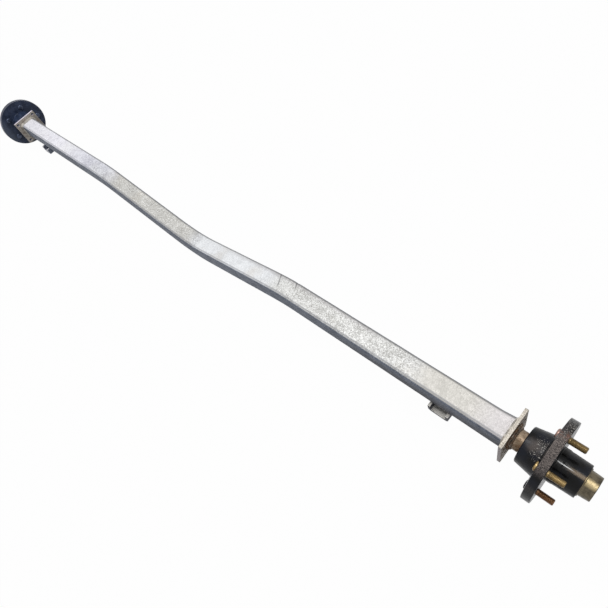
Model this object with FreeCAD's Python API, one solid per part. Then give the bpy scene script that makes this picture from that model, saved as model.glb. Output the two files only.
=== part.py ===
import FreeCAD, Part
import math
import os
from FreeCAD import Vector

# Trailer axle: a square tube bent into a shallow V, with a five-stud hub on tapered roller bearings
# at each end. X runs along the axle, Y along the vehicle, Z is up. The origin lies midway between
# the two spring pads, in the plane of the faces that rest on the springs. All sizes are in mm.

# Beam
beam_size = 50.0                # side of the square tube
beam_wall = 4.0
beam_corner = 8.0               # outer corner radius of the tube
beam_length = 1940.0            # between the inner faces of the two flange plates
vee_depth = 86.5                # how far the tube's centre line dips in the middle
vee_half_width = 409.0          # from the middle to where the straight ends would meet the slopes
bend_radius = 390.0             # centre line radius of the three bends

# Flange plates on the beam's ends
plate_side = 85.0
plate_thick = 6.0
plate_corner = 3.0
plate_hole_pitch = 66.0
plate_hole_r = 4.5
weld_leg = 5.5                  # fillet weld round the tube at the plate
stub_weld_leg = 6.5             # fillet weld round the stub at the plate

# Spring pads under the beam
pad_inset = 130.5               # from a flange plate's inner face to the pad's centre
pad_width = 45.0
pad_height = 22.0
pad_thick = 5.5
pad_length = 66.0
pad_bend = 8.0                  # outer radius of the channel's bends
pad_bend_inside = 2.5
centre_bolt_r = 5.25

# Stub axle
camber = 0.5                    # degrees that each stub points down at its outboard end
shank_play = 1.0                # between the stub's shank and the tube's bore
stub_insert = 78.0              # length of shank inside the tube
seal_land_r = 19.7              # ground land that the grease seal runs on
land_lead = 4.0                 # how far the land starts inboard of the hub
inner_seat_r = 17.5
outer_seat_r = 13.5
thread_r = 12.0
thread_length = 24.0
seat_relief = 0.45              # how much the spindle is turned down between the seats
end_chamfer = 1.5

# Hub casting
hub_gap = 20.0                  # from the flange plate to the hub's inboard end
hub_length = 102.0
flange_start = 38.0             # from the hub's inboard end to its flange
flange_thick = 16.5
flange_r = 80.0
flange_edge = 1.2
inner_barrel_r = 35.2
inner_barrel_root_r = 37.3
barrel_fillet = 5.0
barrel_chamfer = 1.2
pilot_r = 33.0                  # locates the wheel's centre bore
pilot_length = 9.0
outer_barrel_root_r = 32.3
outer_barrel_r = 31.1
outer_barrel_edge = 1.0
cup_shoulder = 4.6              # step that each bearing cup rests against
cap_bore_depth = 11.0           # from the hub's outboard end to the outer bearing

# Wheel studs
stud_count = 5
stud_circle_r = 56.0
stud_r = 6.0
stud_reach = 29.0               # beyond the flange's outboard face
stud_knurl = 0.8                # how much the knurled part is larger than the thread
stud_runout = 1.2                # the knurl tapers to the thread and ends level with the flange's face
stud_head_r = 9.0
stud_head = 5.5
stud_head_dome = 2.8
stud_tip = 1.2
right_stud_turn = 56.0          # degrees from +Y towards +Z at rest
left_stud_turn = 45.0

# Grease cap
cap_length = 21.5
cap_wall = 1.6
cap_base_r = 24.6
cap_end_r = 23.6
cap_round = 2.2
cap_spigot = 8.0
cap_shoulder_r = 25.9
cap_shoulder = 1.3

# Grease seal
seal_width = 8.0
seal_inset = 0.6
seal_wall = 1.3

# Tapered roller bearings: outer radius, widths, rollers and raceway angle
inner_bearing_r = 29.56
inner_bearing_width = 15.9
inner_cone_width = 16.7
inner_cup_width = 11.9
inner_roller_r = 3.1
inner_roller_length = 11.5
inner_roller_count = 18
outer_bearing_r = 25.15
outer_bearing_width = 14.5
outer_cone_width = 14.7
outer_cup_width = 10.7
outer_roller_r = 3.0
outer_roller_length = 11.0
outer_roller_count = 15
race_angle = 11.5               # between a roller's axis and the spindle, in degrees
rib_width = 2.2                 # guiding rib at the cone's large end
rib_height = 1.5
small_rib_height = 0.5
race_round = 0.8
cage_thick = 0.8
cage_overlap = 1.4              # how far the cage reaches past the rollers' ends
cage_rise = 1.1                 # the cage lies this far outside the rollers' pitch line
cage_play = 0.2                 # gap round each roller in its window

# Washer, castle nut and split pin
washer_r = 20.0
washer_thick = 3.3
nut_flats = 36.0
nut_height = 17.0
nut_slot_depth = 6.5
nut_slot_width = 5.0
nut_chamfer = 1.0
pin_r = 1.6
pin_leg = 6.0
pin_bend_r = 2.5
pin_eye_r = 2.0
pin_eye_wire = 0.8

# Clearances
slip = 0.02                     # pressed or pushed together
running = 0.05                  # a seal lip or raceway that runs against its partner
thread_play = 0.05
plate_play = 0.05               # the stub in the plate's hole
weld_play = 0.1                 # the stub in its ring of weld

# Places that follow from the sizes above; x is measured outboard from a plate's outer face
axle_height = pad_height + beam_size / 2
shank_r = beam_size / 2 - beam_wall - shank_play
plate_outer = beam_length / 2 + plate_thick
pad_centre = beam_length / 2 - pad_inset
land_start = hub_gap - land_lead
hub_end = hub_gap + hub_length
flange_in = hub_gap + flange_start
flange_out = flange_in + flange_thick
seal_start = hub_gap + seal_inset
inner_bearing_start = seal_start + seal_width + 1.0
inner_shoulder = inner_bearing_start + inner_bearing_width
outer_bearing_end = hub_end - cap_bore_depth
outer_shoulder = outer_bearing_end - outer_bearing_width
thread_end = outer_bearing_end + thread_length
nut_start = outer_bearing_end + washer_thick
pin_station = nut_start + nut_height - nut_slot_depth / 2

x_axis = Vector(1, 0, 0)
y_axis = Vector(0, 1, 0)
z_axis = Vector(0, 0, 1)
origin = Vector(0, 0, 0)


def rounded_edges(corners, closed):
    """Lines and arcs through (point, radius) corners, each corner rounded by its own radius."""
    points = [Vector(*point) for point, radius in corners]
    count = len(points)
    starts = []
    ends = []
    arcs = []
    for i, (point, radius) in enumerate(corners):
        here = points[i]
        at_end = not closed and i in (0, count - 1)
        if radius <= 0 or at_end:
            starts.append(here)
            ends.append(here)
            arcs.append(None)
            continue
        back = (points[i - 1] - here).normalize()
        ahead = (points[(i + 1) % count] - here).normalize()
        half = back.getAngle(ahead) / 2
        reach = radius / math.tan(half)
        middle = (back + ahead).normalize()
        centre = here + middle * (radius / math.sin(half))
        starts.append(here + back * reach)
        ends.append(here + ahead * reach)
        arcs.append(Part.Arc(starts[i], centre - middle * radius, ends[i]).toShape())
    edges = []
    for i in range(count):
        if arcs[i]:
            edges.append(arcs[i])
        last = not closed and i == count - 1
        following = starts[(i + 1) % count]
        if not last and ends[i].distanceToPoint(following) > 1e-6:
            edges.append(Part.makeLine(ends[i], following))
    return edges


def face_of(corners):
    """Flat face inside a closed outline of rounded corners."""
    return Part.Face(Part.Wire(rounded_edges(corners, True)))


def turned(profile):
    """Solid of revolution about X from (x, r) or (x, r, corner radius) profile points."""
    corners = []
    for point in profile:
        radius = point[2] if len(point) > 2 else 0
        corners.append(((point[0], 0, point[1]), radius))
    return face_of(corners).revolve(origin, x_axis, 360)


def square_outline(x, side, corner):
    """Rounded square outline across the X axis at x."""
    h = side / 2
    places = ((-h, -h), (h, -h), (h, h), (-h, h))
    return Part.Wire(rounded_edges([((x, y, z), corner) for y, z in places], True))


def rod(x, y, z, radius, length):
    """Cylinder along X that starts at the given point."""
    return Part.makeCylinder(radius, length, Vector(x, y, z), x_axis)


def around(shape, count, start=0.0):
    """Copies of a shape evenly spaced around the X axis, the first turned by start degrees."""
    copies = []
    for i in range(count):
        copy = shape.copy()
        copy.rotate(origin, x_axis, start + i * 360.0 / count)
        copies.append(copy)
    return copies


def beam_tube():
    """Square hollow section swept along a centre line that is straight, down, up and straight."""
    half = beam_length / 2
    route = [
        ((-half, 0, 0), 0),
        ((-vee_half_width, 0, 0), bend_radius),
        ((0, 0, -vee_depth), bend_radius),
        ((vee_half_width, 0, 0), bend_radius),
        ((half, 0, 0), 0),
    ]
    path = Part.Wire(rounded_edges(route, False))
    outer = path.makePipeShell([square_outline(-half, beam_size, beam_corner)], True, False)
    bore = beam_size - 2 * beam_wall
    inner = path.makePipeShell([square_outline(-half, bore, beam_corner - beam_wall)], True, False)
    return outer.cut(inner)


def flange_plate():
    """Square plate with corner holes for a brake or mudguard bracket and a hole for the stub."""
    outline = Part.Face(square_outline(-plate_thick, plate_side, plate_corner))
    plate = outline.extrude(x_axis * plate_thick)
    plate = plate.cut(rod(-plate_thick, 0, 0, shank_r + plate_play, plate_thick))
    reach = plate_hole_pitch / 2
    for y in (-reach, reach):
        for z in (-reach, reach):
            plate = plate.cut(rod(-plate_thick, y, z, plate_hole_r, plate_thick))
    return plate


def plate_weld():
    """Fillet weld that tapers from the plate on to the tube, all round the square."""
    toe = 0.6
    at_plate = square_outline(-plate_thick, beam_size + 2 * weld_leg, beam_corner + weld_leg)
    on_tube = square_outline(-plate_thick - weld_leg, beam_size + 2 * toe, beam_corner + toe)
    body = Part.makeLoft([at_plate, on_tube], True, True)
    tube = Part.Face(square_outline(-plate_thick - weld_leg, beam_size, beam_corner))
    return body.cut(tube.extrude(x_axis * weld_leg))


def stub_weld():
    """Ring of weld with a hollow face between the plate and the stub."""
    toe = 0.6
    throat = 0.30
    bore = shank_r + weld_play
    root = Vector(0, 0, bore)
    foot = Vector(0, 0, bore + stub_weld_leg)
    edge = Vector(toe, 0, bore + stub_weld_leg)
    tip = Vector(stub_weld_leg, 0, bore + toe)
    top = Vector(stub_weld_leg, 0, bore)
    middle = Vector(stub_weld_leg * throat, 0, bore + stub_weld_leg * throat)
    hollow = Part.Arc(edge, middle, tip).toShape()
    lines = [Part.makeLine(a, b) for a, b in ((root, foot), (foot, edge), (tip, top), (top, root))]
    outline = Part.Wire([lines[0], lines[1], hollow, lines[2], lines[3]])
    return Part.Face(outline).revolve(origin, x_axis, 360)


def stub_axle():
    """Turned stub: shank in the tube, seal land, inner seat, taper, outer seat, threaded end."""
    seat_gap = 0.3
    between = inner_seat_r - seat_relief
    small = outer_seat_r + seat_relief
    shank_start = -plate_thick - stub_insert
    inner_seat_end = inner_bearing_start + inner_cone_width + 0.5
    outer_seat_start = outer_bearing_end - outer_cone_width - 0.5
    stub = turned([
        (shank_start, 0),
        (shank_start, shank_r - end_chamfer),
        (shank_start + end_chamfer, shank_r),
        (land_start, shank_r),
        (land_start, seal_land_r),
        (inner_bearing_start, seal_land_r),
        (inner_bearing_start, inner_seat_r),
        (inner_seat_end, inner_seat_r),
        (inner_seat_end + 1, between, 1.0),
        (outer_seat_start - 1, small, 1.0),
        (outer_seat_start, outer_seat_r),
        (outer_bearing_end - seat_gap, outer_seat_r),
        (outer_bearing_end - seat_gap, thread_r),
        (thread_end - end_chamfer, thread_r),
        (thread_end, thread_r - end_chamfer),
        (thread_end, 0),
    ])
    hole_r = pin_r + 0.2
    hole = Part.makeCylinder(hole_r, 2 * shank_r, Vector(pin_station, 0, -shank_r), z_axis)
    return stub.cut(hole)


def spring_pad():
    """Channel with its legs up against the beam and a hole for the spring's centre bolt."""
    half = pad_width / 2
    inside = half - pad_thick
    start = -pad_length / 2
    outline = [
        ((-half, start, 0), pad_bend),
        ((half, start, 0), pad_bend),
        ((half, start, pad_height), 0),
        ((inside, start, pad_height), 0),
        ((inside, start, pad_thick), pad_bend_inside),
        ((-inside, start, pad_thick), pad_bend_inside),
        ((-inside, start, pad_height), 0),
        ((-half, start, pad_height), 0),
    ]
    channel = face_of(outline).extrude(Vector(0, pad_length, 0))
    return channel.cut(Part.makeCylinder(centre_bolt_r, pad_thick, origin, z_axis))


def hub():
    """Cast hub: inner barrel, round flange, pilot, outer barrel and the bearing bores."""
    start = hub_gap
    inner_lip = inner_bearing_r - cup_shoulder
    outer_lip = outer_bearing_r - cup_shoulder
    pilot_end = flange_out + pilot_length
    casting = turned([
        (start, inner_bearing_r),
        (start, inner_barrel_r - barrel_chamfer),
        (start + barrel_chamfer, inner_barrel_r, 2.0),
        (flange_in, inner_barrel_root_r, barrel_fillet),
        (flange_in, flange_r, flange_edge),
        (flange_out, flange_r, flange_edge),
        (flange_out, pilot_r, 1.0),
        (pilot_end, pilot_r),
        (pilot_end, outer_barrel_root_r),
        (hub_end, outer_barrel_r, outer_barrel_edge),
        (hub_end, outer_bearing_r),
        (outer_shoulder, outer_bearing_r),
        (outer_shoulder, outer_lip),
        (inner_shoulder, inner_lip),
        (inner_shoulder, inner_bearing_r),
    ])
    hole = rod(flange_in, stud_circle_r, 0, stud_r + stud_knurl, flange_thick)
    for cutter in around(hole, stud_count):
        casting = casting.cut(cutter)
    return casting


def wheel_stud():
    """Pressed stud: domed head inboard of the flange, knurl in its hole, plain thread outboard."""
    knurl_r = stud_r + stud_knurl - slip
    knurl_end = flange_out - stud_runout
    head_start = flange_in - stud_head
    tip = flange_out + stud_reach
    stud = turned([
        (head_start, 0),
        (head_start, stud_head_r, stud_head_dome),
        (flange_in, stud_head_r),
        (flange_in, knurl_r),
        (knurl_end, knurl_r),
        (flange_out, stud_r),
        (tip - stud_tip, stud_r),
        (tip, stud_r - stud_tip),
        (tip, 0),
    ])
    stud.translate(Vector(0, stud_circle_r, 0))
    return stud


def grease_cap():
    """Drawn cap: spigot pressed in the hub, shoulder on its end face, closed rounded end."""
    spigot_r = outer_bearing_r - slip
    end = hub_end + cap_length
    return turned([
        (hub_end - cap_spigot, spigot_r - cap_wall),
        (hub_end - cap_spigot, spigot_r),
        (hub_end, spigot_r),
        (hub_end, cap_shoulder_r, 0.4),
        (hub_end + cap_shoulder, cap_shoulder_r, 0.4),
        (hub_end + cap_shoulder, cap_base_r),
        (end, cap_end_r, cap_round),
        (end, 0),
        (end - cap_wall, 0),
        (end - cap_wall, cap_end_r - cap_wall, cap_round - cap_wall),
        (hub_end, cap_base_r - cap_wall),
    ])


def grease_seal():
    """Steel-cased seal: pressed in the hub, its rubber lip running on the stub's land."""
    outer = inner_bearing_r - slip
    lip = seal_land_r + running
    space = outer - seal_wall - lip
    end = seal_start + seal_width
    return turned([
        (seal_start, lip + space / 8),
        (seal_start, outer, 0.6),
        (end, outer),
        (end, outer - seal_wall),
        (seal_start + seal_wall, outer - seal_wall, 0.8),
        (seal_start + seal_wall, lip + space / 2, 0.6),
        (end - 1.2, lip + space / 2),
        (end - 1.2, lip + space / 4),
        (end - 2.4, lip),
        (end - 3.2, lip),
        (seal_start + 2.0, lip + space / 8),
    ])


class TaperBearing:
    """Tapered roller bearing whose rollers and raceways share one apex on the axis.

    Its own x runs from the cone's large end, at 0, towards the small ends and the apex.
    """

    def __init__(self, bore_r, outer_r, width, cone_width, cup_width, roller_r, length, count):
        pitch_r = (bore_r + outer_r) / 2
        self.bore_r = bore_r
        self.outer_r = outer_r
        self.width = width
        self.cone_width = cone_width
        self.cup_width = cup_width
        self.length = length
        self.count = count
        self.angle = math.radians(race_angle)
        self.reach = pitch_r / math.sin(self.angle)
        self.half_cone = math.atan(roller_r / self.reach)
        self.large_r = (self.reach + length / 2) * math.tan(self.half_cone)
        self.small_r = (self.reach - length / 2) * math.tan(self.half_cone)
        foot = length / 2 * math.cos(self.angle) + self.large_r * math.sin(self.angle)
        self.middle = rib_width + running + foot
        self.apex = self.middle + pitch_r / math.tan(self.angle)
        self.speed_ratio = (pitch_r + roller_r * math.cos(self.angle)) / (2 * pitch_r)

    def inner_race(self, x):
        slope = math.tan(self.angle - self.half_cone)
        return (self.apex - x) * slope - running

    def outer_race(self, x):
        slope = math.tan(self.angle + self.half_cone)
        return (self.apex - x) * slope + running

    def pitch_line(self, x):
        return (self.apex - x) * math.tan(self.angle)

    def cone(self):
        """Inner ring with a guiding rib at its large end and a low one at its small end."""
        bore = self.bore_r + slip
        small_rib = self.cone_width - 1.4
        return turned([
            (0, bore, race_round),
            (0, self.inner_race(0) + rib_height, race_round),
            (rib_width, self.inner_race(rib_width) + rib_height),
            (rib_width, self.inner_race(rib_width)),
            (small_rib, self.inner_race(small_rib)),
            (small_rib, self.inner_race(small_rib) + small_rib_height),
            (self.cone_width, self.inner_race(self.cone_width) + small_rib_height, 0.4),
            (self.cone_width, bore, race_round),
        ])

    def cup(self):
        """Outer ring, thick at the small end, pressed in the hub against its shoulder."""
        start = self.width - self.cup_width
        outer = self.outer_r - slip
        return turned([
            (start, self.outer_race(start)),
            (start, outer, 0.5),
            (self.width, outer, race_round),
            (self.width, self.outer_race(self.width), race_round),
        ])

    def roller(self, play=0.0):
        """One tapered roller in place at the top, larger all round by the given play."""
        length = self.length + 2 * play
        shape = Part.makeCone(self.large_r + play, self.small_r + play, length, origin, x_axis)
        shape.translate(Vector(-length / 2, 0, 0))
        shape.rotate(origin, Vector(0, 1, 0), race_angle)
        shape.translate(Vector(self.middle, 0, self.pitch_line(self.middle)))
        return shape

    def rollers(self):
        return Part.makeCompound(around(self.roller(), self.count))

    def cage(self):
        """Pressed cone-shaped cage with one window for each roller."""
        half = self.length / 2 * math.cos(self.angle) + cage_overlap
        low = self.middle - half
        high = self.middle + half
        rise = cage_rise + cage_thick
        sleeve = turned([
            (low, self.pitch_line(low) + cage_rise),
            (low, self.pitch_line(low) + rise),
            (high, self.pitch_line(high) + rise),
            (high, self.pitch_line(high) - 0.4),
            (high - cage_thick, self.pitch_line(high) - 0.4),
            (high - cage_thick, self.pitch_line(high) + cage_rise),
        ])
        for cutter in around(self.roller(cage_play), self.count):
            sleeve = sleeve.cut(cutter)
        return sleeve


def spindle_washer():
    """Thick washer between the outer cone and the nut."""
    bore = thread_r + thread_play
    return turned([
        (outer_bearing_end, bore),
        (outer_bearing_end, washer_r, 0.4),
        (nut_start, washer_r, 0.4),
        (nut_start, bore),
    ])


def castle_nut():
    """Hexagon nut with six slots across its outboard end for the split pin."""
    corner_r = nut_flats / math.sqrt(3)
    places = [math.radians(60 * i + 30) for i in range(6)]
    outline = [((nut_start, corner_r * math.cos(a), corner_r * math.sin(a)), 0) for a in places]
    hexagon = face_of(outline).extrude(x_axis * nut_height)
    end = nut_start + nut_height
    slot_start = end - nut_slot_depth
    flat_r = nut_flats / 2
    bore = thread_r + thread_play
    limit = turned([
        (nut_start, bore),
        (nut_start, flat_r),
        (nut_start + nut_chamfer, corner_r),
        (slot_start, corner_r),
        (slot_start, flat_r - nut_chamfer),
        (end - nut_chamfer, flat_r - nut_chamfer),
        (end, flat_r - 2 * nut_chamfer),
        (end, bore),
    ])
    nut = hexagon.common(limit)
    corner = Vector(slot_start, -nut_slot_width / 2, 0)
    slot = Part.makeBox(nut_slot_depth, nut_slot_width, nut_flats, corner)
    for cutter in around(slot, 6):
        nut = nut.cut(cutter)
    return nut


def split_pin():
    """Pin through the stub and a pair of nut slots, with a loop eye and one leg bent outboard."""
    turret_r = nut_flats / 2 - nut_chamfer
    top = turret_r + pin_eye_wire
    low = -turret_r - pin_bend_r
    route = [
        ((pin_station, 0, top), 0),
        ((pin_station, 0, low), pin_bend_r),
        ((pin_station + pin_leg, 0, low), 0),
    ]
    path = Part.Wire(rounded_edges(route, False))
    section = Part.Wire(Part.makeCircle(pin_r, Vector(pin_station, 0, top), z_axis))
    pin = path.makePipeShell([section], True, False)
    eye_centre = Vector(pin_station, 0, top + pin_eye_r - pin_eye_wire)
    eye = Part.makeTorus(pin_eye_r, pin_eye_wire, eye_centre, Vector(0, 1, 0))
    return pin.fuse(eye)


def at_end(shape, side):
    """Puts a shape made for an end on the right (+1) or, turned half round, on the left (-1)."""
    placed = shape.copy()
    if side < 0:
        placed.rotate(origin, z_axis, 180)
    placed.translate(Vector(side * plate_outer, 0, axle_height))
    return placed


def leaning(shape):
    """Tips a piece that sits on the stub down at its outboard end, about the plate's middle."""
    tipped = shape.copy()
    tipped.rotate(Vector(-plate_thick / 2, 0, 0), y_axis, camber)
    return tipped


def facing_in(shape):
    """Turns a bearing part end for end and puts its large end at the outer bearing's place."""
    flipped = shape.copy()
    flipped.rotate(origin, z_axis, 180)
    flipped.translate(Vector(outer_bearing_end, 0, 0))
    return flipped


def facing_out(shape):
    """Puts a bearing part's large end against the shoulder at the inner bearing's place."""
    moved = shape.copy()
    moved.translate(Vector(inner_bearing_start, 0, 0))
    return moved


def save(name, shape):
    """Writes one sub-part and checks that it is sound."""
    if not shape.isValid():
        raise ValueError(name + " is not a valid shape")
    shape.exportStep("parts/" + name + ".step")


os.makedirs("parts", exist_ok=True)

inner_bearing = TaperBearing(
    inner_seat_r, inner_bearing_r, inner_bearing_width, inner_cone_width, inner_cup_width,
    inner_roller_r, inner_roller_length, inner_roller_count)
outer_bearing = TaperBearing(
    outer_seat_r, outer_bearing_r, outer_bearing_width, outer_cone_width, outer_cup_width,
    outer_roller_r, outer_roller_length, outer_roller_count)

# Pieces of one end that are alike on both sides: first those on the beam, then those on the stub
beam_pieces = {
    "flange_plate": flange_plate(),
    "plate_weld": plate_weld(),
    "stub_weld": stub_weld(),
}
stub_pieces = {
    "stub_axle": stub_axle(),
    "grease_cap": grease_cap(),
    "grease_seal": grease_seal(),
    "inner_cone": facing_out(inner_bearing.cone()),
    "inner_cup": facing_out(inner_bearing.cup()),
    "inner_rollers": facing_out(inner_bearing.rollers()),
    "inner_cage": facing_out(inner_bearing.cage()),
    "outer_cone": facing_in(outer_bearing.cone()),
    "outer_cup": facing_in(outer_bearing.cup()),
    "outer_rollers": facing_in(outer_bearing.rollers()),
    "outer_cage": facing_in(outer_bearing.cage()),
    "spindle_washer": spindle_washer(),
    "castle_nut": castle_nut(),
    "split_pin": split_pin(),
}
hub_casting = hub()
stud = wheel_stud()

tube = beam_tube()
tube.translate(Vector(0, 0, axle_height))
save("beam_tube", tube)

for label, side, turn in (("right", 1, right_stud_turn), ("left", -1, left_stud_turn)):
    for piece, shape in beam_pieces.items():
        save(label + "_" + piece, at_end(shape, side))
    for piece, shape in stub_pieces.items():
        save(label + "_" + piece, at_end(leaning(shape), side))
    turned_hub = hub_casting.copy()
    turned_hub.rotate(origin, x_axis, turn)
    save(label + "_hub", at_end(leaning(turned_hub), side))
    studs = Part.makeCompound(around(stud, stud_count, turn))
    save(label + "_wheel_studs", at_end(leaning(studs), side))
    pad = spring_pad()
    pad.translate(Vector(side * pad_centre, 0, 0))
    save(label + "_spring_pad", pad)

print("roller set turns per hub turn, inner:", round(inner_bearing.speed_ratio, 5))
print("roller set turns per hub turn, outer:", round(outer_bearing.speed_ratio, 5))
print("hub axis height above the spring seats:", axle_height)
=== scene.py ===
import bmesh
import bpy
import math
from mathutils import Matrix, Vector, noise


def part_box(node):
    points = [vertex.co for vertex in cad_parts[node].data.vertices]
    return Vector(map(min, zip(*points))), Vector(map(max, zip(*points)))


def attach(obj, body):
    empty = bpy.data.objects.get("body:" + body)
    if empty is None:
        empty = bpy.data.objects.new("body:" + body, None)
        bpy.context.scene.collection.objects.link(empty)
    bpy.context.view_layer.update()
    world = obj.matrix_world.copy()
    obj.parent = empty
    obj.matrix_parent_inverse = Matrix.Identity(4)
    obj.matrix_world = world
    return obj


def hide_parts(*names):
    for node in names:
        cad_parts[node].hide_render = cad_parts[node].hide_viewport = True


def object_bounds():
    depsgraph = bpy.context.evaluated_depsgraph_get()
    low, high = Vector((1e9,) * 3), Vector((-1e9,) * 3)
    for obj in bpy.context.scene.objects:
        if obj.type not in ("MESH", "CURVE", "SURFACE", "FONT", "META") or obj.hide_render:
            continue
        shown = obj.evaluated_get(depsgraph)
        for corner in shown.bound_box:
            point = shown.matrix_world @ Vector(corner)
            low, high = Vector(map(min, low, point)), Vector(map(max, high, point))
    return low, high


# Trailer axle: the looks of the axle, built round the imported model. X runs along the axle, Y along
# the vehicle, Z is up, in metres; the origin lies midway between the two spring pads.
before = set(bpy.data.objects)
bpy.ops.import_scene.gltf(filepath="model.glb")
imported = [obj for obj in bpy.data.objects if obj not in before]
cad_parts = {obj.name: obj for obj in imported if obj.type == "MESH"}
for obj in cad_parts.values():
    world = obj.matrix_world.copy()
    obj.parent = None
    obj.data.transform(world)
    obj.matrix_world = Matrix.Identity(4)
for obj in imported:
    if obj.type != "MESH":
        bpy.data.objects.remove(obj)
cad_low, cad_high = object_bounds()
mm = 0.001

# Beam
# A square tube, bent three times into a shallow V and galvanised to a frosty, mottled skin, with two
# creases where the bender pressed the right-hand bend and a slight flare at the right-hand plate.
tube_side = 50 * mm
tube_wall = 4 * mm
tube_corner = 8 * mm
tube_bend = 390 * mm
vee_depth = 86.5 * mm
vee_half_width = 409 * mm
axle_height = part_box("right_flange_plate")[0].z / 2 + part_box("right_flange_plate")[1].z / 2
tube_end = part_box("beam_tube")[1].x
zinc_wave = 0.22 * mm
crease_places = ((387 * mm, -10 * mm), (441 * mm, 6 * mm))
crease_skew = 0.55
crease_depth = 0.6 * mm
grain_start, grain_end = 340 * mm, 730 * mm
smooth_start = 780 * mm
flare = 2.2 * mm


class Graph:
    """A node tree, with a short way to add nodes and join their sockets."""

    def __init__(self, tree):
        self.tree = tree

    def add(self, kind, inputs=None, **settings):
        node = self.tree.nodes.new(kind)
        for name, value in settings.items():
            setattr(node, name, value)
        for name, value in (inputs or {}).items():
            self.feed(node.inputs[name], value)
        return node

    def feed(self, socket, value):
        if isinstance(value, bpy.types.NodeSocket):
            self.tree.links.new(value, socket)
        else:
            socket.default_value = value

    def math(self, operation, first, second=0.5, clamp=False):
        node = self.add("ShaderNodeMath", operation=operation, use_clamp=clamp)
        self.feed(node.inputs[0], first)
        self.feed(node.inputs[1], second)
        return node.outputs[0]

    def plus(self, first, second):
        return self.math("ADD", first, second)

    def minus(self, first, second):
        return self.math("SUBTRACT", first, second)

    def times(self, first, *others):
        """Product of two or more values."""
        for other in others:
            first = self.math("MULTIPLY", first, other)
        return first

    def split(self, vector):
        """The X, Y and Z sockets of a vector."""
        return self.add("ShaderNodeSeparateXYZ", {"Vector": vector}).outputs

    def spread(self, value, low, high, out_low=0.0, out_high=1.0):
        """Value between low and high, eased on to out_low and out_high."""
        node = self.add("ShaderNodeMapRange", {"Value": value, "From Min": low, "From Max": high},
                        interpolation_type="SMOOTHSTEP")
        self.feed(node.inputs["To Min"], out_low)
        self.feed(node.inputs["To Max"], out_high)
        return node.outputs["Result"]

    def blend(self, mask, first, second, kind="MIX"):
        """Colour that goes from the first to the second as the mask goes from 0 to 1."""
        node = self.add("ShaderNodeMix", data_type="RGBA", blend_type=kind)
        self.feed(node.inputs["Factor"], mask)
        self.feed(node.inputs[6], first)
        self.feed(node.inputs[7], second)
        return node.outputs[2]


def new_group(name, kind, inputs, outputs):
    """Node group with named sockets; gives its graph, its inputs and its outputs."""
    tree = bpy.data.node_groups.new(name, kind)
    for label, socket_type, value in inputs:
        socket = tree.interface.new_socket(label, in_out="INPUT",
                                           socket_type="NodeSocket" + socket_type)
        if value is not None:
            socket.default_value = value
    for label, socket_type in outputs:
        tree.interface.new_socket(label, in_out="OUTPUT", socket_type="NodeSocket" + socket_type)
    graph = Graph(tree)
    return graph, graph.add("NodeGroupInput").outputs, graph.add("NodeGroupOutput").inputs


def grow(name, start, tree, values):
    """Plain mesh object made by a geometry tree from a starting mesh and named input values."""
    piece = bpy.data.objects.new(name, start)
    bpy.context.scene.collection.objects.link(piece)
    modifier = piece.modifiers.new(name, "NODES")
    modifier.node_group = tree
    for item in tree.interface.items_tree:
        if item.in_out == "INPUT" and item.name in values:
            modifier[item.identifier] = values[item.name]
    evaluated = piece.evaluated_get(bpy.context.evaluated_depsgraph_get())
    mesh = bpy.data.meshes.new_from_object(evaluated)
    piece.modifiers.clear()
    piece.data = mesh
    return piece


def tone(red, green, blue):
    """Shader colour from screen values between 0 and 255."""
    return tuple((v / 255) ** 2.2 for v in (red, green, blue)) + (1.0,)


def new_material(name, **fixed):
    """Material with one plain surface shader; gives it, its graph, its shader and its coordinates."""
    material = bpy.data.materials.new(name)
    material.use_nodes = True
    graph = Graph(material.node_tree)
    graph.tree.nodes.clear()
    skin = graph.add("ShaderNodeBsdfPrincipled", {k.replace("_", " "): v for k, v in fixed.items()})
    graph.add("ShaderNodeOutputMaterial", {"Surface": skin.outputs["BSDF"]})
    return material, graph, skin, graph.add("ShaderNodeTexCoord").outputs


def noise_value(graph, place, scale, detail=3.0, roughness=0.55):
    return graph.add("ShaderNodeTexNoise", {"Vector": place, "Scale": scale, "Detail": detail,
                                            "Roughness": roughness}).outputs["Fac"]


# Frost: faint clouds, crystal flowers and fine speckle of a zinc skin, as one value round 0.5
graph, given, frost_out = new_group(
    "zinc_frost", "ShaderNodeTree",
    [("Vector", "Vector", None), ("Cloud Scale", "Float", 34.0), ("Crystal Scale", "Float", 260.0),
     ("Speckle", "Float", 0.9)],
    [("Value", "Float"), ("Height", "Float")])
cloud = noise_value(graph, given["Vector"], given["Cloud Scale"], 4.0, 0.62)
crystal = graph.add("ShaderNodeTexVoronoi",
                    {"Vector": given["Vector"], "Scale": given["Crystal Scale"], "Randomness": 1.0})
flower = graph.add("ShaderNodeSeparateColor", {"Color": crystal.outputs["Color"]}).outputs["Red"]
fine = noise_value(graph, given["Vector"], 480.0, 2.0, 0.6)
mottle = graph.plus(graph.times(cloud, 0.45), graph.times(flower, 0.12))
speckled = graph.times(graph.minus(fine, 0.5), given["Speckle"])
graph.feed(frost_out["Value"], graph.plus(graph.plus(mottle, 0.215), speckled))
graph.feed(frost_out["Height"], graph.plus(cloud, graph.times(fine, 0.25)))
frost_group = graph.tree


def lay_effect(graph, tree, place, **values):
    """Puts a shared effect into a material, on object coordinates, with values of its own."""
    node = graph.add("ShaderNodeGroup", node_tree=tree)
    graph.feed(node.inputs["Vector"], place["Object"])
    for name, value in values.items():
        node.inputs[name.replace("_", " ")].default_value = value
    return node


def add_relief(graph, skin, strength, distance, height):
    """Fine relief in a material's shading, from a height value."""
    bump = graph.add("ShaderNodeBump", {"Strength": strength, "Distance": distance, "Height": height})
    graph.feed(skin.inputs["Normal"], bump.outputs["Normal"])


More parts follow.
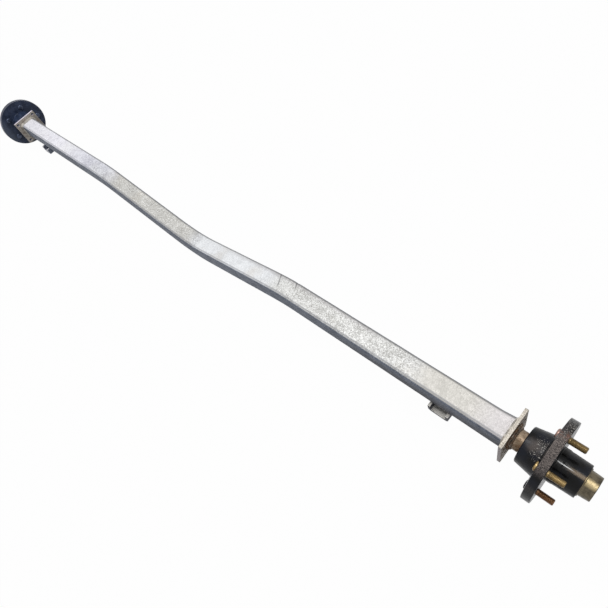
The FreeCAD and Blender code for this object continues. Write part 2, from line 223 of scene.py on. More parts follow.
# Galvanised skin of the tube and pads. The last stretch at the right-hand end came out smooth and
# pale, and brown stains run in places. The sides and the underside are painted a dull blue-grey as
# shade, and painted shade darkens the back corner, the creases and the front corner.
galvanised, graph, skin, place = new_material("galvanised", Specular_IOR_Level=0.25)
frost = lay_effect(graph, frost_group, place)
spot = graph.split(place["Object"])
facing = graph.split(place["Normal"])
smooth_end = graph.spread(graph.plus(spot["X"], graph.times(frost.outputs["Height"], 0.06)),
                          smooth_start, smooth_start + 70 * mm)
shade = graph.spread(frost.outputs["Value"], 0.30, 0.70)
bright = graph.blend(shade, tone(150, 150, 151), tone(224, 225, 226))
# Painted light: the slope left of the V's bottom is painted darker and the one to its right lighter;
# bluish further left
left_slope = graph.times(graph.spread(spot["X"], -0.42, -0.32), graph.spread(spot["X"], 0.02, -0.03))
right_slope = graph.times(graph.spread(spot["X"], 0.0, 0.06), graph.spread(spot["X"], 0.46, 0.30))
bright = graph.blend(graph.times(left_slope, 0.60), bright, tone(150, 148, 144))
bright = graph.blend(graph.times(right_slope, 0.55), bright, tone(238, 240, 242))
cool = graph.times(graph.spread(noise_value(graph, place["Object"], 5.0, 2.0), 0.40, 0.60),
                   graph.spread(spot["X"], -0.2, -0.5))
bright = graph.blend(graph.times(cool, 0.25), bright, tone(204, 203, 228))
stain = graph.spread(noise_value(graph, place["Object"], 11.0, 5.0, 0.65), 0.55, 0.72)
bright = graph.blend(graph.times(stain, 0.20), bright, tone(176, 160, 136))
# Fine grain over the straight part right of the bend, and pale flecked zinc at the far left end
dots = noise_value(graph, place["Object"], 360.0, 2.0, 0.5)
grainy = graph.times(graph.spread(spot["X"], grain_start, grain_start + 60 * mm),
                     graph.spread(spot["X"], grain_end + 80 * mm, grain_end))
grainy = graph.plus(grainy, graph.times(left_slope, 0.8))
dark_dots = graph.times(graph.plus(grainy, 0.35), graph.spread(dots, 0.57, 0.66, 0.0, 0.36))
light_dots = graph.times(graph.plus(grainy, 0.35), graph.spread(dots, 0.43, 0.35, 0.0, 0.45))
bright = graph.blend(graph.times(grainy, 0.30), bright, tone(196, 193, 180))
far_end = graph.spread(spot["X"], -0.45, -0.70, 0.0, 0.55)
bright = graph.blend(far_end, bright, tone(246, 244, 249))
flecks = graph.spread(noise_value(graph, place["Object"], 90.0, 3.0, 0.6), 0.54, 0.64, 0.0, 0.35)
bright = graph.blend(graph.times(flecks, graph.spread(spot["X"], -0.3, -0.5)), bright,
                     tone(170, 168, 176))
bright = graph.blend(dark_dots, bright, tone(120, 116, 112))
bright = graph.blend(light_dots, bright, tone(246, 246, 244))
# Grey band along the back edge, and the calm stretch before the right-hand plate
band = graph.times(graph.spread(spot["Y"], 8 * mm, 19 * mm), graph.spread(spot["X"], 0.74, 0.62))
band = graph.times(band, graph.spread(spot["X"], 0.0, 0.35))
bright = graph.blend(graph.times(band, 0.45), bright, tone(150, 146, 148))
calm = graph.blend(shade, tone(191, 188, 181), tone(198, 195, 189))
calm = graph.blend(graph.spread(spot["X"], 0.88, 0.95, 0.0, 0.5), calm, tone(205, 200, 205))
bright = graph.blend(smooth_end, bright, calm)
# Painted shade on the back corner and in the creases' folds, and a painted grey band of shade on the
# front corner
bright = graph.blend(graph.times(graph.spread(facing["Y"], 0.15, 0.45), 0.75), bright,
                     tone(112, 112, 112))
skewed = graph.plus(spot["X"], graph.times(spot["Y"], crease_skew))
for crease, reach in crease_places:
    away = graph.math("ABSOLUTE", graph.minus(skewed, crease))
    crease_shade = graph.times(graph.spread(away, 2.4 * mm, 0.6 * mm),
                       graph.spread(spot["Y"], reach, reach + 6 * mm))
    bright = graph.blend(graph.times(crease_shade, 0.7), bright, tone(84, 82, 84))
# Painted shade: a grey band where the front corner turns down to the front face
front_corner_shade = graph.times(graph.spread(facing["Y"], -0.10, -0.30), graph.spread(facing["Y"], -0.62, -0.50))
bright = graph.blend(graph.times(front_corner_shade, 0.55), bright, tone(140, 141, 146))
# Painted shade: blue-grey sides and underside, darkest low on the right
shaded_sides = graph.blend(shade, tone(92, 98, 110), tone(128, 134, 148))
drop = graph.minus(spot["Z"], axle_height)
low_shade = graph.times(graph.spread(drop, 20 * mm, -16 * mm), graph.spread(spot["X"], 0.45, 0.75))
shaded_sides = graph.blend(graph.times(low_shade, 0.85), shaded_sides, tone(58, 57, 62))
shade_facing = graph.spread(facing["Z"], 0.80, 0.50)
graph.feed(skin.inputs["Base Color"], graph.blend(shade_facing, bright, shaded_sides))
graph.feed(skin.inputs["Metallic"], graph.spread(frost.outputs["Value"], 0.3, 0.7, 0.12, 0.24))
graph.feed(skin.inputs["Roughness"], graph.spread(frost.outputs["Value"], 0.3, 0.7, 0.66, 0.52))
add_relief(graph, skin, 0.35, 0.3 * mm, frost.outputs["Height"])

# Bent tube: the route's corners get the bender's radius and the square section follows it. The skin
# waves a little, dips at the creases and flares at the right-hand plate.
graph, given, tube_out = new_group(
    "bent_tube", "GeometryNodeTree",
    [("Route", "Geometry", None), ("Side", "Float", tube_side), ("Wall", "Float", tube_wall),
     ("Corner Radius", "Float", tube_corner), ("Bend Radius", "Float", tube_bend),
     ("Station", "Float", 4 * mm), ("Wave", "Float", zinc_wave), ("Finish", "Material", None)],
    [("Tube", "Geometry")])
route = graph.add("GeometryNodeMeshToCurve", {"Mesh": given["Route"]}).outputs["Curve"]
bent = graph.add("GeometryNodeFilletCurve", {"Curve": route, "Radius": given["Bend Radius"]},
                 mode="POLY")
bent.inputs["Count"].default_value = 24
even = graph.add("GeometryNodeResampleCurve",
                 {"Curve": bent.outputs["Curve"], "Length": given["Station"]}, mode="LENGTH")
upright = graph.add("GeometryNodeSetCurveNormal", {"Curve": even.outputs["Curve"]},
                    mode="Z_UP").outputs["Curve"]


def square_section(side, corner, points):
    square = graph.add("GeometryNodeCurvePrimitiveQuadrilateral", {"Width": side, "Height": side})
    rounded = graph.add("GeometryNodeFilletCurve", {"Curve": square.outputs["Curve"], "Radius": corner},
                        mode="POLY")
    rounded.inputs["Count"].default_value = 6
    if not points:
        return rounded.outputs["Curve"]
    return graph.add("GeometryNodeResampleCurve", {"Curve": rounded.outputs["Curve"], "Count": points},
                     mode="COUNT").outputs["Curve"]


outer = graph.add("GeometryNodeCurveToMesh", {
    "Curve": upright, "Profile Curve": square_section(given["Side"], given["Corner Radius"], 92)})
bore_side = graph.minus(given["Side"], graph.times(given["Wall"], 2.0))
bore_corner = graph.minus(given["Corner Radius"], given["Wall"])
inner = graph.add("GeometryNodeCurveToMesh", {
    "Curve": upright, "Profile Curve": square_section(bore_side, bore_corner, 0)})
flipped = graph.add("GeometryNodeFlipFaces", {"Mesh": inner.outputs["Mesh"]})
position = graph.add("GeometryNodeInputPosition").outputs["Position"]
ripple = noise_value(graph, position, 16.0, 3.0, 0.5)
lift = graph.times(graph.minus(ripple, 0.5), graph.times(given["Wave"], 2.0))
along = graph.split(position)
skewed = graph.plus(along["X"], graph.times(along["Y"], crease_skew))
topside = graph.spread(along["Z"], 60 * mm, 66 * mm)
for crease, reach in crease_places:
    away = graph.math("DIVIDE", graph.minus(skewed, crease), 3.5 * mm)
    dip = graph.math("EXPONENT", graph.times(graph.math("POWER", away, 2.0), -1.0))
    near_back = graph.times(topside, graph.spread(along["Y"], reach, reach + 10 * mm))
    dip = graph.times(dip, near_back, crease_depth)
    lift = graph.minus(lift, dip)
drawn_up = graph.times(graph.spread(along["X"], tube_end - 38 * mm, tube_end + 6 * mm),
                       graph.spread(along["Y"], 5 * mm, 22 * mm))
lift = graph.plus(lift, graph.times(drawn_up, flare))
normal = graph.add("GeometryNodeInputNormal").outputs["Normal"]
push = graph.add("ShaderNodeVectorMath", {0: normal, "Scale": lift}, operation="SCALE")
waved = graph.add("GeometryNodeSetPosition",
                  {"Geometry": outer.outputs["Mesh"], "Offset": push.outputs["Vector"]})
both = graph.add("GeometryNodeJoinGeometry")
graph.tree.links.new(waved.outputs["Geometry"], both.inputs[0])
graph.tree.links.new(flipped.outputs["Mesh"], both.inputs[0])
finished = graph.add("GeometryNodeSetMaterial",
                     {"Geometry": both.outputs["Geometry"], "Material": given["Finish"]})
graph.feed(tube_out["Tube"], finished.outputs["Geometry"])

beam_route = bpy.data.meshes.new("beam_route")
corners = [(-tube_end, 0), (-vee_half_width, 0), (0, -vee_depth), (vee_half_width, 0), (tube_end, 0)]
beam_route.from_pydata([(x, 0, axle_height + z) for x, z in corners], [(i, i + 1) for i in range(4)],
                       [])
beam = grow("beam", beam_route, graph.tree, {"Finish": galvanised})
shape = bmesh.new()
shape.from_mesh(beam.data)
rims = [edge for edge in shape.edges if edge.is_boundary]
for side in (-1, 1):
    bmesh.ops.bridge_loops(shape, edges=[e for e in rims if e.verts[0].co.x * side > 0])
bmesh.ops.recalc_face_normals(shape, faces=shape.faces)
shape.to_mesh(beam.data)
shape.free()
for face in beam.data.polygons:
    face.use_smooth = abs(abs(face.center.x) - tube_end) > 1 * mm
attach(beam, "beam")
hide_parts("beam_tube")

# Spring pads
# Short channels of bent plate, galvanised with the beam, legs up and welded to its underside.
pad_zinc = galvanised.copy()
pad_zinc.name = "pad_zinc"


def dress(node, material):
    """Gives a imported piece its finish, without touching its shape."""
    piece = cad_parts[node]
    for socket in piece.material_slots:
        socket.material = material
    if not piece.material_slots:
        piece.data.materials.append(material)


for side in ("right", "left"):
    dress(side + "_spring_pad", pad_zinc)

# Flange plates
# Square plates with four corner holes. Their zinc burned off round the welds, so their faces have
# rusted brown-grey while their edges are still pale. Their rims carry painted shade at the sides and
# underneath, and the left plate's top a painted light.
plate_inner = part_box("right_flange_plate")[0].x
plate_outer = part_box("right_flange_plate")[1].x
camber = math.radians(0.5)

# Rust: blooms that spread from an amount, their colour and their crust
graph, given, rust_out = new_group(
    "rust_bloom", "ShaderNodeTree",
    [("Vector", "Vector", None), ("Scale", "Float", 60.0), ("Amount", "Float", 0.5)],
    [("Mask", "Float"), ("Color", "Color"), ("Height", "Float")])
bloom = noise_value(graph, given["Vector"], given["Scale"], 6.0, 0.68)
grains = noise_value(graph, given["Vector"], graph.times(given["Scale"], 6.0), 3.0, 0.6)
level = graph.plus(bloom, graph.times(graph.minus(grains, 0.5), 0.25))
edge = graph.minus(1.0, given["Amount"])
soft_edge = graph.add("ShaderNodeMapRange", {"Value": level}, interpolation_type="SMOOTHSTEP")
graph.feed(soft_edge.inputs["From Min"], graph.minus(edge, 0.10))
graph.feed(soft_edge.inputs["From Max"], graph.plus(edge, 0.06))
graph.feed(rust_out["Mask"], soft_edge.outputs["Result"])
deep = graph.blend(graph.spread(grains, 0.35, 0.62), tone(50, 39, 31), tone(112, 82, 60))
graph.feed(rust_out["Color"], graph.blend(graph.spread(bloom, 0.45, 0.75), deep, tone(146, 118, 92)))
graph.feed(rust_out["Height"], level)
rust_group = graph.tree

# Worn edges: where the rounded normal leaves the flat one
graph, given, wear_out = new_group(
    "edge_wear", "ShaderNodeTree",
    [("Vector", "Vector", None), ("Radius", "Float", 1.0 * mm), ("Break Up", "Float", 0.5)],
    [("Mask", "Float")])
soft = graph.add("ShaderNodeBevel", {"Radius": given["Radius"]}, samples=4).outputs["Normal"]
hard = graph.add("ShaderNodeNewGeometry").outputs["Normal"]
apart = graph.add("ShaderNodeVectorMath", {0: soft, 1: hard}, operation="DOT_PRODUCT").outputs["Value"]
chips = noise_value(graph, given["Vector"], 300.0, 4.0, 0.7)
worn = graph.minus(graph.spread(apart, 0.995, 0.86),
                   graph.times(graph.minus(chips, 0.35), given["Break Up"]))
graph.feed(wear_out["Mask"], graph.math("MULTIPLY", worn, 1.0, clamp=True))
wear_group = graph.tree


def about_axis(graph, place):
    """A point's distance from the wheel axis, which leans down outboard, and its y over its height."""
    spot = graph.split(place["Object"])
    out = graph.minus(graph.math("ABSOLUTE", spot["X"]), plate_outer)
    fallen = graph.minus(axle_height, graph.times(out, math.tan(camber)))
    up = graph.minus(spot["Z"], fallen)
    reach = graph.math("SQRT",
                       graph.plus(graph.math("POWER", spot["Y"], 2.0), graph.math("POWER", up, 2.0)))
    return reach, graph.math("DIVIDE", spot["Y"], graph.math("MAXIMUM", up, 1 * mm))


rusty_plate, graph, skin, place = new_material("rusty_plate", Specular_IOR_Level=0.3)
frost = lay_effect(graph, frost_group, place, Speckle=1.1)
facing = graph.split(place["Normal"])
flat = graph.spread(graph.math("ABSOLUTE", facing["X"]), 0.6, 0.9)
near_weld = graph.spread(about_axis(graph, place)[0], 56 * mm, 20 * mm)
rust = lay_effect(graph, rust_group, place, Scale=70.0)
amount = graph.plus(graph.times(flat, 0.26), graph.times(near_weld, 0.20))
graph.feed(rust.inputs["Amount"], graph.plus(amount, 0.07))
shade = graph.spread(frost.outputs["Value"], 0.36, 0.64)
edge_zinc = graph.blend(shade, tone(148, 140, 128), tone(204, 197, 186))
face_steel = graph.blend(shade, tone(110, 100, 85), tone(154, 142, 124))
spot = graph.split(place["Object"])
left_end = graph.spread(spot["X"], 0.0, -0.5)
face_steel = graph.blend(graph.times(left_end, 0.75), face_steel, tone(178, 171, 162))
base = graph.blend(flat, edge_zinc, face_steel)
# Painted shade: the plates' rims are painted a darker purple-grey where they face sideways or down
shade_facing = graph.spread(facing["Z"], 0.5, -0.2)
rim_shade = graph.times(shade_facing, graph.minus(1.0, flat))
base = graph.blend(graph.times(rim_shade, 0.75), base, tone(138, 128, 137))
# Painted light: the left plate's upward faces are painted pale
lit_top = graph.times(left_end, graph.spread(facing["Z"], 0.5, 0.9))
base = graph.blend(lit_top, base, tone(222, 214, 226))
# The left plate's faces turn darker grey towards the back and the bottom
back_low_grey = graph.spread(graph.minus(spot["Y"], spot["Z"]), -50 * mm, -20 * mm)
back_low_grey = graph.times(left_end, flat, back_low_grey)
base = graph.blend(graph.times(back_low_grey, 0.6), base, tone(122, 121, 120))
rusted = graph.blend(graph.times(left_end, 0.85), rust.outputs["Color"], tone(150, 140, 129))
graph.feed(skin.inputs["Base Color"], graph.blend(rust.outputs["Mask"], base, rusted))
graph.feed(skin.inputs["Roughness"], graph.spread(rust.outputs["Mask"], 0.0, 1.0, 0.5, 0.85))
graph.feed(skin.inputs["Metallic"], graph.spread(rust.outputs["Mask"], 0.0, 1.0, 0.2, 0.0))
add_relief(graph, skin, 0.6, 0.5 * mm, rust.outputs["Height"])
for side in ("right", "left"):
    dress(side + "_flange_plate", rusty_plate)

# Welds
# Beads round the tube at each plate's inner face and round the stub at its outer face, laid in
# overlapping ripples. The inner beads are zinc grey like the tube, the outer ones are bare and brown.
weld_brown, graph, skin, place = new_material("weld_brown", Specular_IOR_Level=0.3)
rust = lay_effect(graph, rust_group, place, Scale=140.0, Amount=0.46)
scale_tone = graph.blend(graph.spread(noise_value(graph, place["Object"], 90.0), 0.35, 0.65),
                         tone(102, 92, 82), tone(158, 146, 134))
graph.feed(skin.inputs["Base Color"],
           graph.blend(rust.outputs["Mask"], scale_tone, rust.outputs["Color"]))
graph.feed(skin.inputs["Metallic"], graph.spread(rust.outputs["Mask"], 0.0, 1.0, 0.5, 0.0))
graph.feed(skin.inputs["Roughness"], graph.spread(rust.outputs["Mask"], 0.0, 1.0, 0.42, 0.85))
add_relief(graph, skin, 0.6, 0.4 * mm, rust.outputs["Height"])

weld_zinc, graph, skin, place = new_material("weld_zinc", Specular_IOR_Level=0.3, Roughness=0.6)
rust = lay_effect(graph, rust_group, place, Scale=120.0, Amount=0.34)
spatter = graph.blend(graph.spread(noise_value(graph, place["Object"], 110.0), 0.35, 0.65),
                      tone(142, 137, 129), tone(200, 194, 184))
graph.feed(skin.inputs["Base Color"], graph.blend(rust.outputs["Mask"], spatter, rust.outputs["Color"]))

tube_weld_leg = 5.5 * mm
stub_weld_leg = 6.5 * mm
shank_r = 20.0 * mm
bead_pitch = 3.2 * mm


def new_piece(name, vertices, faces, material):
    """Object from a list of points and faces, facing outwards, with one finish."""
    mesh = bpy.data.meshes.new(name)
    mesh.from_pydata(vertices, [], faces)
    shape = bmesh.new()
    shape.from_mesh(mesh)
    bmesh.ops.recalc_face_normals(shape, faces=shape.faces)
    shape.to_mesh(mesh)
    shape.free()
    mesh.shade_smooth()
    mesh.materials.append(material)
    piece = bpy.data.objects.new(name, mesh)
    bpy.context.scene.collection.objects.link(piece)
    return piece


def round_path(radius, steps=170):
    """(y, z, outward y, outward z, distance) stations round a circle."""
    stations = []
    for i in range(steps):
        angle = 2 * math.pi * i / steps
        out = (math.cos(angle), math.sin(angle))
        stations.append((radius * out[0], radius * out[1], *out, radius * angle))
    return stations


def square_path(side, corner, flat_steps=34, corner_steps=12):
    """The same stations round a square with round corners."""
    stations = []
    distance = 0.0
    reach = side / 2 - corner
    for quarter in range(4):
        turn = math.pi / 2 * quarter
        for i in range(flat_steps):
            run = -reach + 2 * reach * i / flat_steps
            out = (math.cos(turn), math.sin(turn))
            y = side / 2 * out[0] - run * out[1]
            z = side / 2 * out[1] + run * out[0]
            stations.append((y, z, *out, distance))
            distance += 2 * reach / flat_steps
        for i in range(corner_steps):
            angle = turn + math.pi / 2 * i / corner_steps
            centre = Matrix.Rotation(turn, 2) @ Vector((reach, reach))
            out = (math.cos(angle), math.sin(angle))
            stations.append((centre.x + corner * out[0], centre.y + corner * out[1], *out, distance))
            distance += corner * math.pi / 2 / corner_steps
    return stations


def weld_bead(name, stations, foot, outward, leg, seed, material):
    """Bead that fills the corner between a plate face at x = foot and the wall the stations follow."""
    across = 9
    sunk = 0.3 * mm
    vertices = []
    for y, z, out_y, out_z, distance in stations:
        step = distance / bead_pitch + 0.35 * noise.noise(Vector((distance * 90, seed, 0)))
        ripple = 1 - abs(2 * (step % 1.0) - 1) ** 2
        swell = 0.10 * noise.noise(Vector((distance * 160, 0, seed)))
        size = leg * (0.90 + 0.09 * ripple + swell)
        section = [(-sunk, -sunk), (-sunk, size)]
        for k in range(across):
            angle = math.pi / 2 * (1 - k / (across - 1))
            bulge = 0.74 + 0.26 * abs(math.cos(2 * angle)) + 0.05 * ripple
            section.append((size * bulge * math.cos(angle), size * bulge * math.sin(angle)))
        section.append((size, -sunk))
        for along, out in section:
            vertices.append((foot + outward * along, y + out_y * out, axle_height + z + out_z * out))
    ring = len(section)
    count = len(stations)
    faces = []
    for i in range(count):
        for k in range(ring):
            here, after = i * ring, (i + 1) % count * ring
            following = (k + 1) % ring
            faces.append((here + k, here + following, after + following, after + k))
    return new_piece(name, vertices, faces, material)


for side, sign in (("right", 1), ("left", -1)):
    bead = weld_bead(side + "_tube_bead", square_path(tube_side, tube_corner),
                     sign * plate_inner, -sign, tube_weld_leg, sign * 3.1, weld_zinc)
    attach(bead, "beam")
    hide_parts(side + "_plate_weld")
    bead = weld_bead(side + "_stub_bead", round_path(shank_r), sign * plate_outer, sign,
                     stub_weld_leg, sign * 7.3, weld_brown)
    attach(bead, "beam")
    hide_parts(side + "_stub_weld")

# Stub axles
# Turned from bar and welded into the plates. The bare stretch between plate and hub has rusted brown,
# paler where the rust is thin.
stub_steel, graph, skin, place = new_material("stub_steel", Specular_IOR_Level=0.3)
rust = lay_effect(graph, rust_group, place, Scale=80.0, Amount=0.42)
bare = graph.blend(graph.spread(noise_value(graph, place["Object"], 60.0), 0.4, 0.62),
                   tone(126, 108, 88), tone(164, 144, 122))
graph.feed(skin.inputs["Base Color"], graph.blend(rust.outputs["Mask"], bare, rust.outputs["Color"]))
graph.feed(skin.inputs["Metallic"], graph.spread(rust.outputs["Mask"], 0.0, 1.0, 0.35, 0.0))
graph.feed(skin.inputs["Roughness"], graph.spread(rust.outputs["Mask"], 0.0, 1.0, 0.4, 0.85))
add_relief(graph, skin, 0.5, 0.4 * mm, rust.outputs["Height"])
for side in ("right", "left"):
    dress(side + "_stub_axle", stub_steel)

# Bearings, seals and the parts that hold them
# Ground rings and rollers, pressed cages, washer, nut and split pin, all inside the hub, with the
# rubber-lipped seal at its inboard end.
ground_steel, graph, skin, place = new_material("ground_steel", Metallic=1.0)
lines = graph.add("ShaderNodeMapping", {"Vector": place["Object"], "Scale": (900.0, 60.0, 60.0)})
grinding = noise_value(graph, lines.outputs["Vector"], 1.0, 3.0)
graph.feed(skin.inputs["Base Color"], graph.blend(grinding, tone(168, 170, 174), tone(206, 207, 210)))
graph.feed(skin.inputs["Roughness"], graph.spread(grinding, 0.3, 0.7, 0.18, 0.32))
cage_steel, graph, skin, place = new_material("cage_steel", Metallic=1.0)
pressed = noise_value(graph, place["Object"], 220.0)
graph.feed(skin.inputs["Base Color"], graph.blend(pressed, tone(140, 132, 120), tone(176, 170, 160)))
graph.feed(skin.inputs["Roughness"], graph.spread(pressed, 0.3, 0.7, 0.35, 0.5))
seal_rubber, graph, skin, place = new_material("seal_rubber", Specular_IOR_Level=0.4)
dusty = noise_value(graph, place["Object"], 300.0, 4.0)
graph.feed(skin.inputs["Base Color"],
           graph.blend(graph.spread(dusty, 0.45, 0.7), tone(34, 33, 32), tone(74, 66, 58)))
graph.feed(skin.inputs["Roughness"], graph.spread(dusty, 0.3, 0.7, 0.6, 0.8))
for side in ("right", "left"):
    for part in ("inner_cone", "inner_cup", "inner_rollers", "outer_cone", "outer_cup", "outer_rollers",
                 "spindle_washer", "castle_nut", "split_pin"):
        dress(side + "_" + part, ground_steel)
    dress(side + "_inner_cage", cage_steel)
    dress(side + "_outer_cage", cage_steel)
    dress(side + "_grease_seal", seal_rubber)

# Hubs
# Iron castings, turned where the bearings, wheel and seal fit, and painted near-black. Road dirt
# clings to the top of the right-hand one, its flange's rim has chipped and rusted in places, and
# a painted sheen and a painted highlight lie along its barrels.
hub_paint, graph, skin, place = new_material("hub_paint", Specular_IOR_Level=0.18)
spot = graph.split(place["Object"])
reach, slope = about_axis(graph, place)
facing = graph.split(place["Normal"])
outboard = graph.minus(graph.math("ABSOLUTE", spot["X"]), plate_outer)
lean = graph.plus(graph.times(facing["Y"], -0.14), graph.times(facing["Z"], 0.99))
tint = graph.blend(graph.spread(noise_value(graph, place["Object"], 34.0), 0.4, 0.65), tone(6, 7, 9),
                   tone(22, 25, 33))
# The left-hand hub is navy, and its rim is paler at one side, as worn paint with a painted highlight
left_hub = graph.spread(spot["X"], 0.0, -0.5)
navy = graph.blend(graph.spread(noise_value(graph, place["Object"], 60.0), 0.4, 0.65), tone(38, 46, 64),
                   tone(54, 63, 84))
tint = graph.blend(left_hub, tint, navy)
wear_and_highlight = graph.times(left_hub, graph.spread(spot["Y"], -46 * mm, -76 * mm))
tint = graph.blend(graph.times(wear_and_highlight, 0.6), tint, tone(100, 108, 124))
# Dirt on the top of the right-hand rim, dust and a painted sheen on the barrel beside its flange, and
# bright specks
on_rim = graph.times(graph.spread(reach, 77.6 * mm, 79.2 * mm),
                     graph.spread(graph.math("ABSOLUTE", facing["X"]), 0.85, 0.4))
grit = graph.spread(noise_value(graph, place["Object"], 620.0, 3.0, 0.7), 0.36, 0.64)
dirt_tone = graph.blend(grit, tone(46, 43, 44), tone(146, 136, 130))
right_hub = graph.minus(1.0, left_hub)
topmost = graph.times(graph.spread(lean, 0.80, 0.97), right_hub)
dirt_patch = graph.spread(noise_value(graph, place["Object"], 30.0, 4.0), 0.44, 0.60)
rim_dirt = graph.plus(graph.times(topmost, 0.72), graph.times(dirt_patch, 0.16))
dirt = graph.times(on_rim, rim_dirt)
on_barrel = graph.times(graph.spread(reach, 50 * mm, 44 * mm), graph.spread(outboard, 62 * mm, 58 * mm))
on_barrel = graph.times(on_barrel, right_hub)
# Dust and painted sheen on the top of the inboard barrel
dust_and_sheen = graph.times(on_barrel, graph.spread(outboard, 20 * mm, 36 * mm),
                      graph.spread(lean, 0.88, 0.985))
patchy = graph.plus(0.25, graph.times(dirt_patch, 0.75))
dust_and_sheen = graph.times(dust_and_sheen, patchy, 0.52)
film = graph.spread(noise_value(graph, place["Object"], 55.0, 6.0, 0.7), 0.60, 0.82, 0.0, 0.20)
dirt = graph.math("MAXIMUM", dirt, graph.math("MAXIMUM", film, dust_and_sheen))
surface = graph.blend(dirt, tint, graph.blend(on_barrel, dirt_tone, tone(104, 96, 92)))
speckle = graph.spread(noise_value(graph, place["Object"], 520.0, 2.0, 0.5), 0.61, 0.68)
near_flange = graph.times(on_barrel, graph.spread(outboard, 30 * mm, 44 * mm))
speck_area = graph.math("MAXIMUM", graph.times(near_flange, graph.spread(lean, 0.75, 0.95)),
                        graph.times(on_rim, graph.spread(facing["Y"], 0.10, 0.35)))
bright_specks = graph.times(speckle, speck_area)
surface = graph.blend(bright_specks, surface, tone(182, 178, 170))
# Painted highlight along the outboard barrel: a pale line at the flange, a brown sheen towards the cap
off_line = graph.math("ABSOLUTE", graph.plus(slope, 0.128))
highlight_line = graph.times(graph.spread(off_line, 0.034, 0.014), graph.spread(outboard, 75 * mm, 78 * mm))
highlight_line = graph.times(highlight_line, graph.spread(outboard, 108 * mm, 88 * mm))
highlight_line = graph.times(highlight_line, right_hub)
brown_sheen = graph.times(graph.spread(off_line, 0.17, 0.03), graph.spread(outboard, 88 * mm, 106 * mm))
brown_sheen = graph.times(brown_sheen, right_hub)
surface = graph.blend(graph.times(brown_sheen, 0.8), surface, tone(122, 104, 82))
surface = graph.blend(highlight_line, surface, tone(252, 252, 250))
# Rusty stretch of the rim, and chipped edges
rust = lay_effect(graph, rust_group, place, Scale=120.0)
rusty_part = graph.times(graph.spread(facing["Y"], 0.08, 0.26), graph.spread(facing["Y"], 0.50, 0.34))
rusty_stretch = graph.times(on_rim, right_hub, rusty_part)
graph.feed(rust.inputs["Amount"], graph.spread(rusty_stretch, 0.0, 1.0, 0.24, 0.47))
surface = graph.blend(graph.times(rust.outputs["Mask"], 0.75), surface, tone(108, 80, 70))
wear = lay_effect(graph, wear_group, place, Radius=1.2 * mm, Break_Up=1.8)
surface = graph.blend(graph.times(wear.outputs["Mask"], 0.5), surface, tone(120, 118, 116))
graph.feed(skin.inputs["Base Color"], surface)
matt = graph.math("MAXIMUM", dirt, rust.outputs["Mask"])
graph.feed(skin.inputs["Roughness"], graph.spread(matt, 0.0, 0.8, 0.30, 0.8))
graph.feed(skin.inputs["Metallic"], graph.times(wear.outputs["Mask"], 0.4))
casting = noise_value(graph, place["Object"], 260.0, 4.0, 0.6)
add_relief(graph, skin, 0.35, 0.5 * mm, casting)

hub_start = 20.0                # mm outboard of the plate, as are the other places along the hub
flange_in = 58.0
flange_out = 74.5
pilot_end = flange_out + 9.0
hub_end = 122.0
flange_r = 80.0
pilot_r = 33.0
inner_barrel_r = 35.2
inner_root_r = 37.3
outer_barrel_r = 32.1
outer_end_r = 31.1
inner_cup_r, inner_cup_end = 29.56, 45.5
outer_cup_r, outer_cup_start = 25.15, 96.5
inner_shoulder_r, outer_shoulder_r = 24.96, 20.55
chamfer = 1.2
stud_circle = 56.0
stud_count = 5
stud_hole_r = 6.8
hub_outline = [
    (hub_start, inner_cup_r, 0), (hub_start, inner_barrel_r - chamfer, 0.8),
    (hub_start + chamfer, inner_barrel_r, 0.8), (flange_in, inner_root_r, 5.0),
    (flange_in, flange_r, 1.2), (flange_out, flange_r, 1.2), (flange_out, pilot_r, 1.0),
    (pilot_end, pilot_r, 0), (pilot_end + 3, outer_barrel_r, 0), (hub_end, outer_end_r, 1.0),
    (hub_end, outer_cup_r, 0), (outer_cup_start, outer_cup_r, 0), (outer_cup_start, outer_shoulder_r,
                                                                   0.5),
    (inner_cup_end, inner_shoulder_r, 0.5), (inner_cup_end, inner_cup_r, 0),
]


def rounded_outline(corners, step):
    """Closed (x, radius) outline, in metres, with round corners and no run longer than step."""
    points = []
    count = len(corners)
    for i, (x, r, radius) in enumerate(corners):
        here = Vector((x, r))
        if radius <= 0:
            points.append(here)
            continue
        back = (Vector(corners[i - 1][:2]) - here).normalized()
        ahead = (Vector(corners[(i + 1) % count][:2]) - here).normalized()
        half = back.angle(ahead) / 2
        if half > math.pi / 2 - 0.03:
            points.append(here)
            continue
        centre = here + (back + ahead).normalized() * (radius / math.sin(half))
        start = here + back * (radius / math.tan(half)) - centre
        end = here + ahead * (radius / math.tan(half)) - centre
        pieces = max(3, round(start.angle(end) * radius / 0.5))
        for k in range(pieces + 1):
            arc = start.slerp(end, k / pieces) if start.angle(end) < 3.1 else start.lerp(end,
                                                                                         k / pieces)
            points.append(centre + arc)
    divided = []
    for i, here in enumerate(points):
        after = points[(i + 1) % len(points)]
        runs = max(1, math.ceil((after - here).length / step))
        divided += [here.lerp(after, k / runs) for k in range(runs)]
    return [point * mm for point in divided]


def revolve(name, outline, steps, material, foot=0.0, closed=True):
    """Body of revolution about the wheel axis; x of the outline is measured from foot."""
    vertices = []
    faces = []
    ring = len(outline)
    for i in range(steps):
        angle = 2 * math.pi * i / steps
        for x, r in outline:
            vertices.append((foot + x, r * math.cos(angle), r * math.sin(angle)))
    for i in range(steps):
        here, after = i * ring, (i + 1) % steps * ring
        for k in range(ring if closed else ring - 1):
            following = (k + 1) % ring
            faces.append((here + k, here + following, after + following, after + k))
    return new_piece(name, vertices, faces, material)


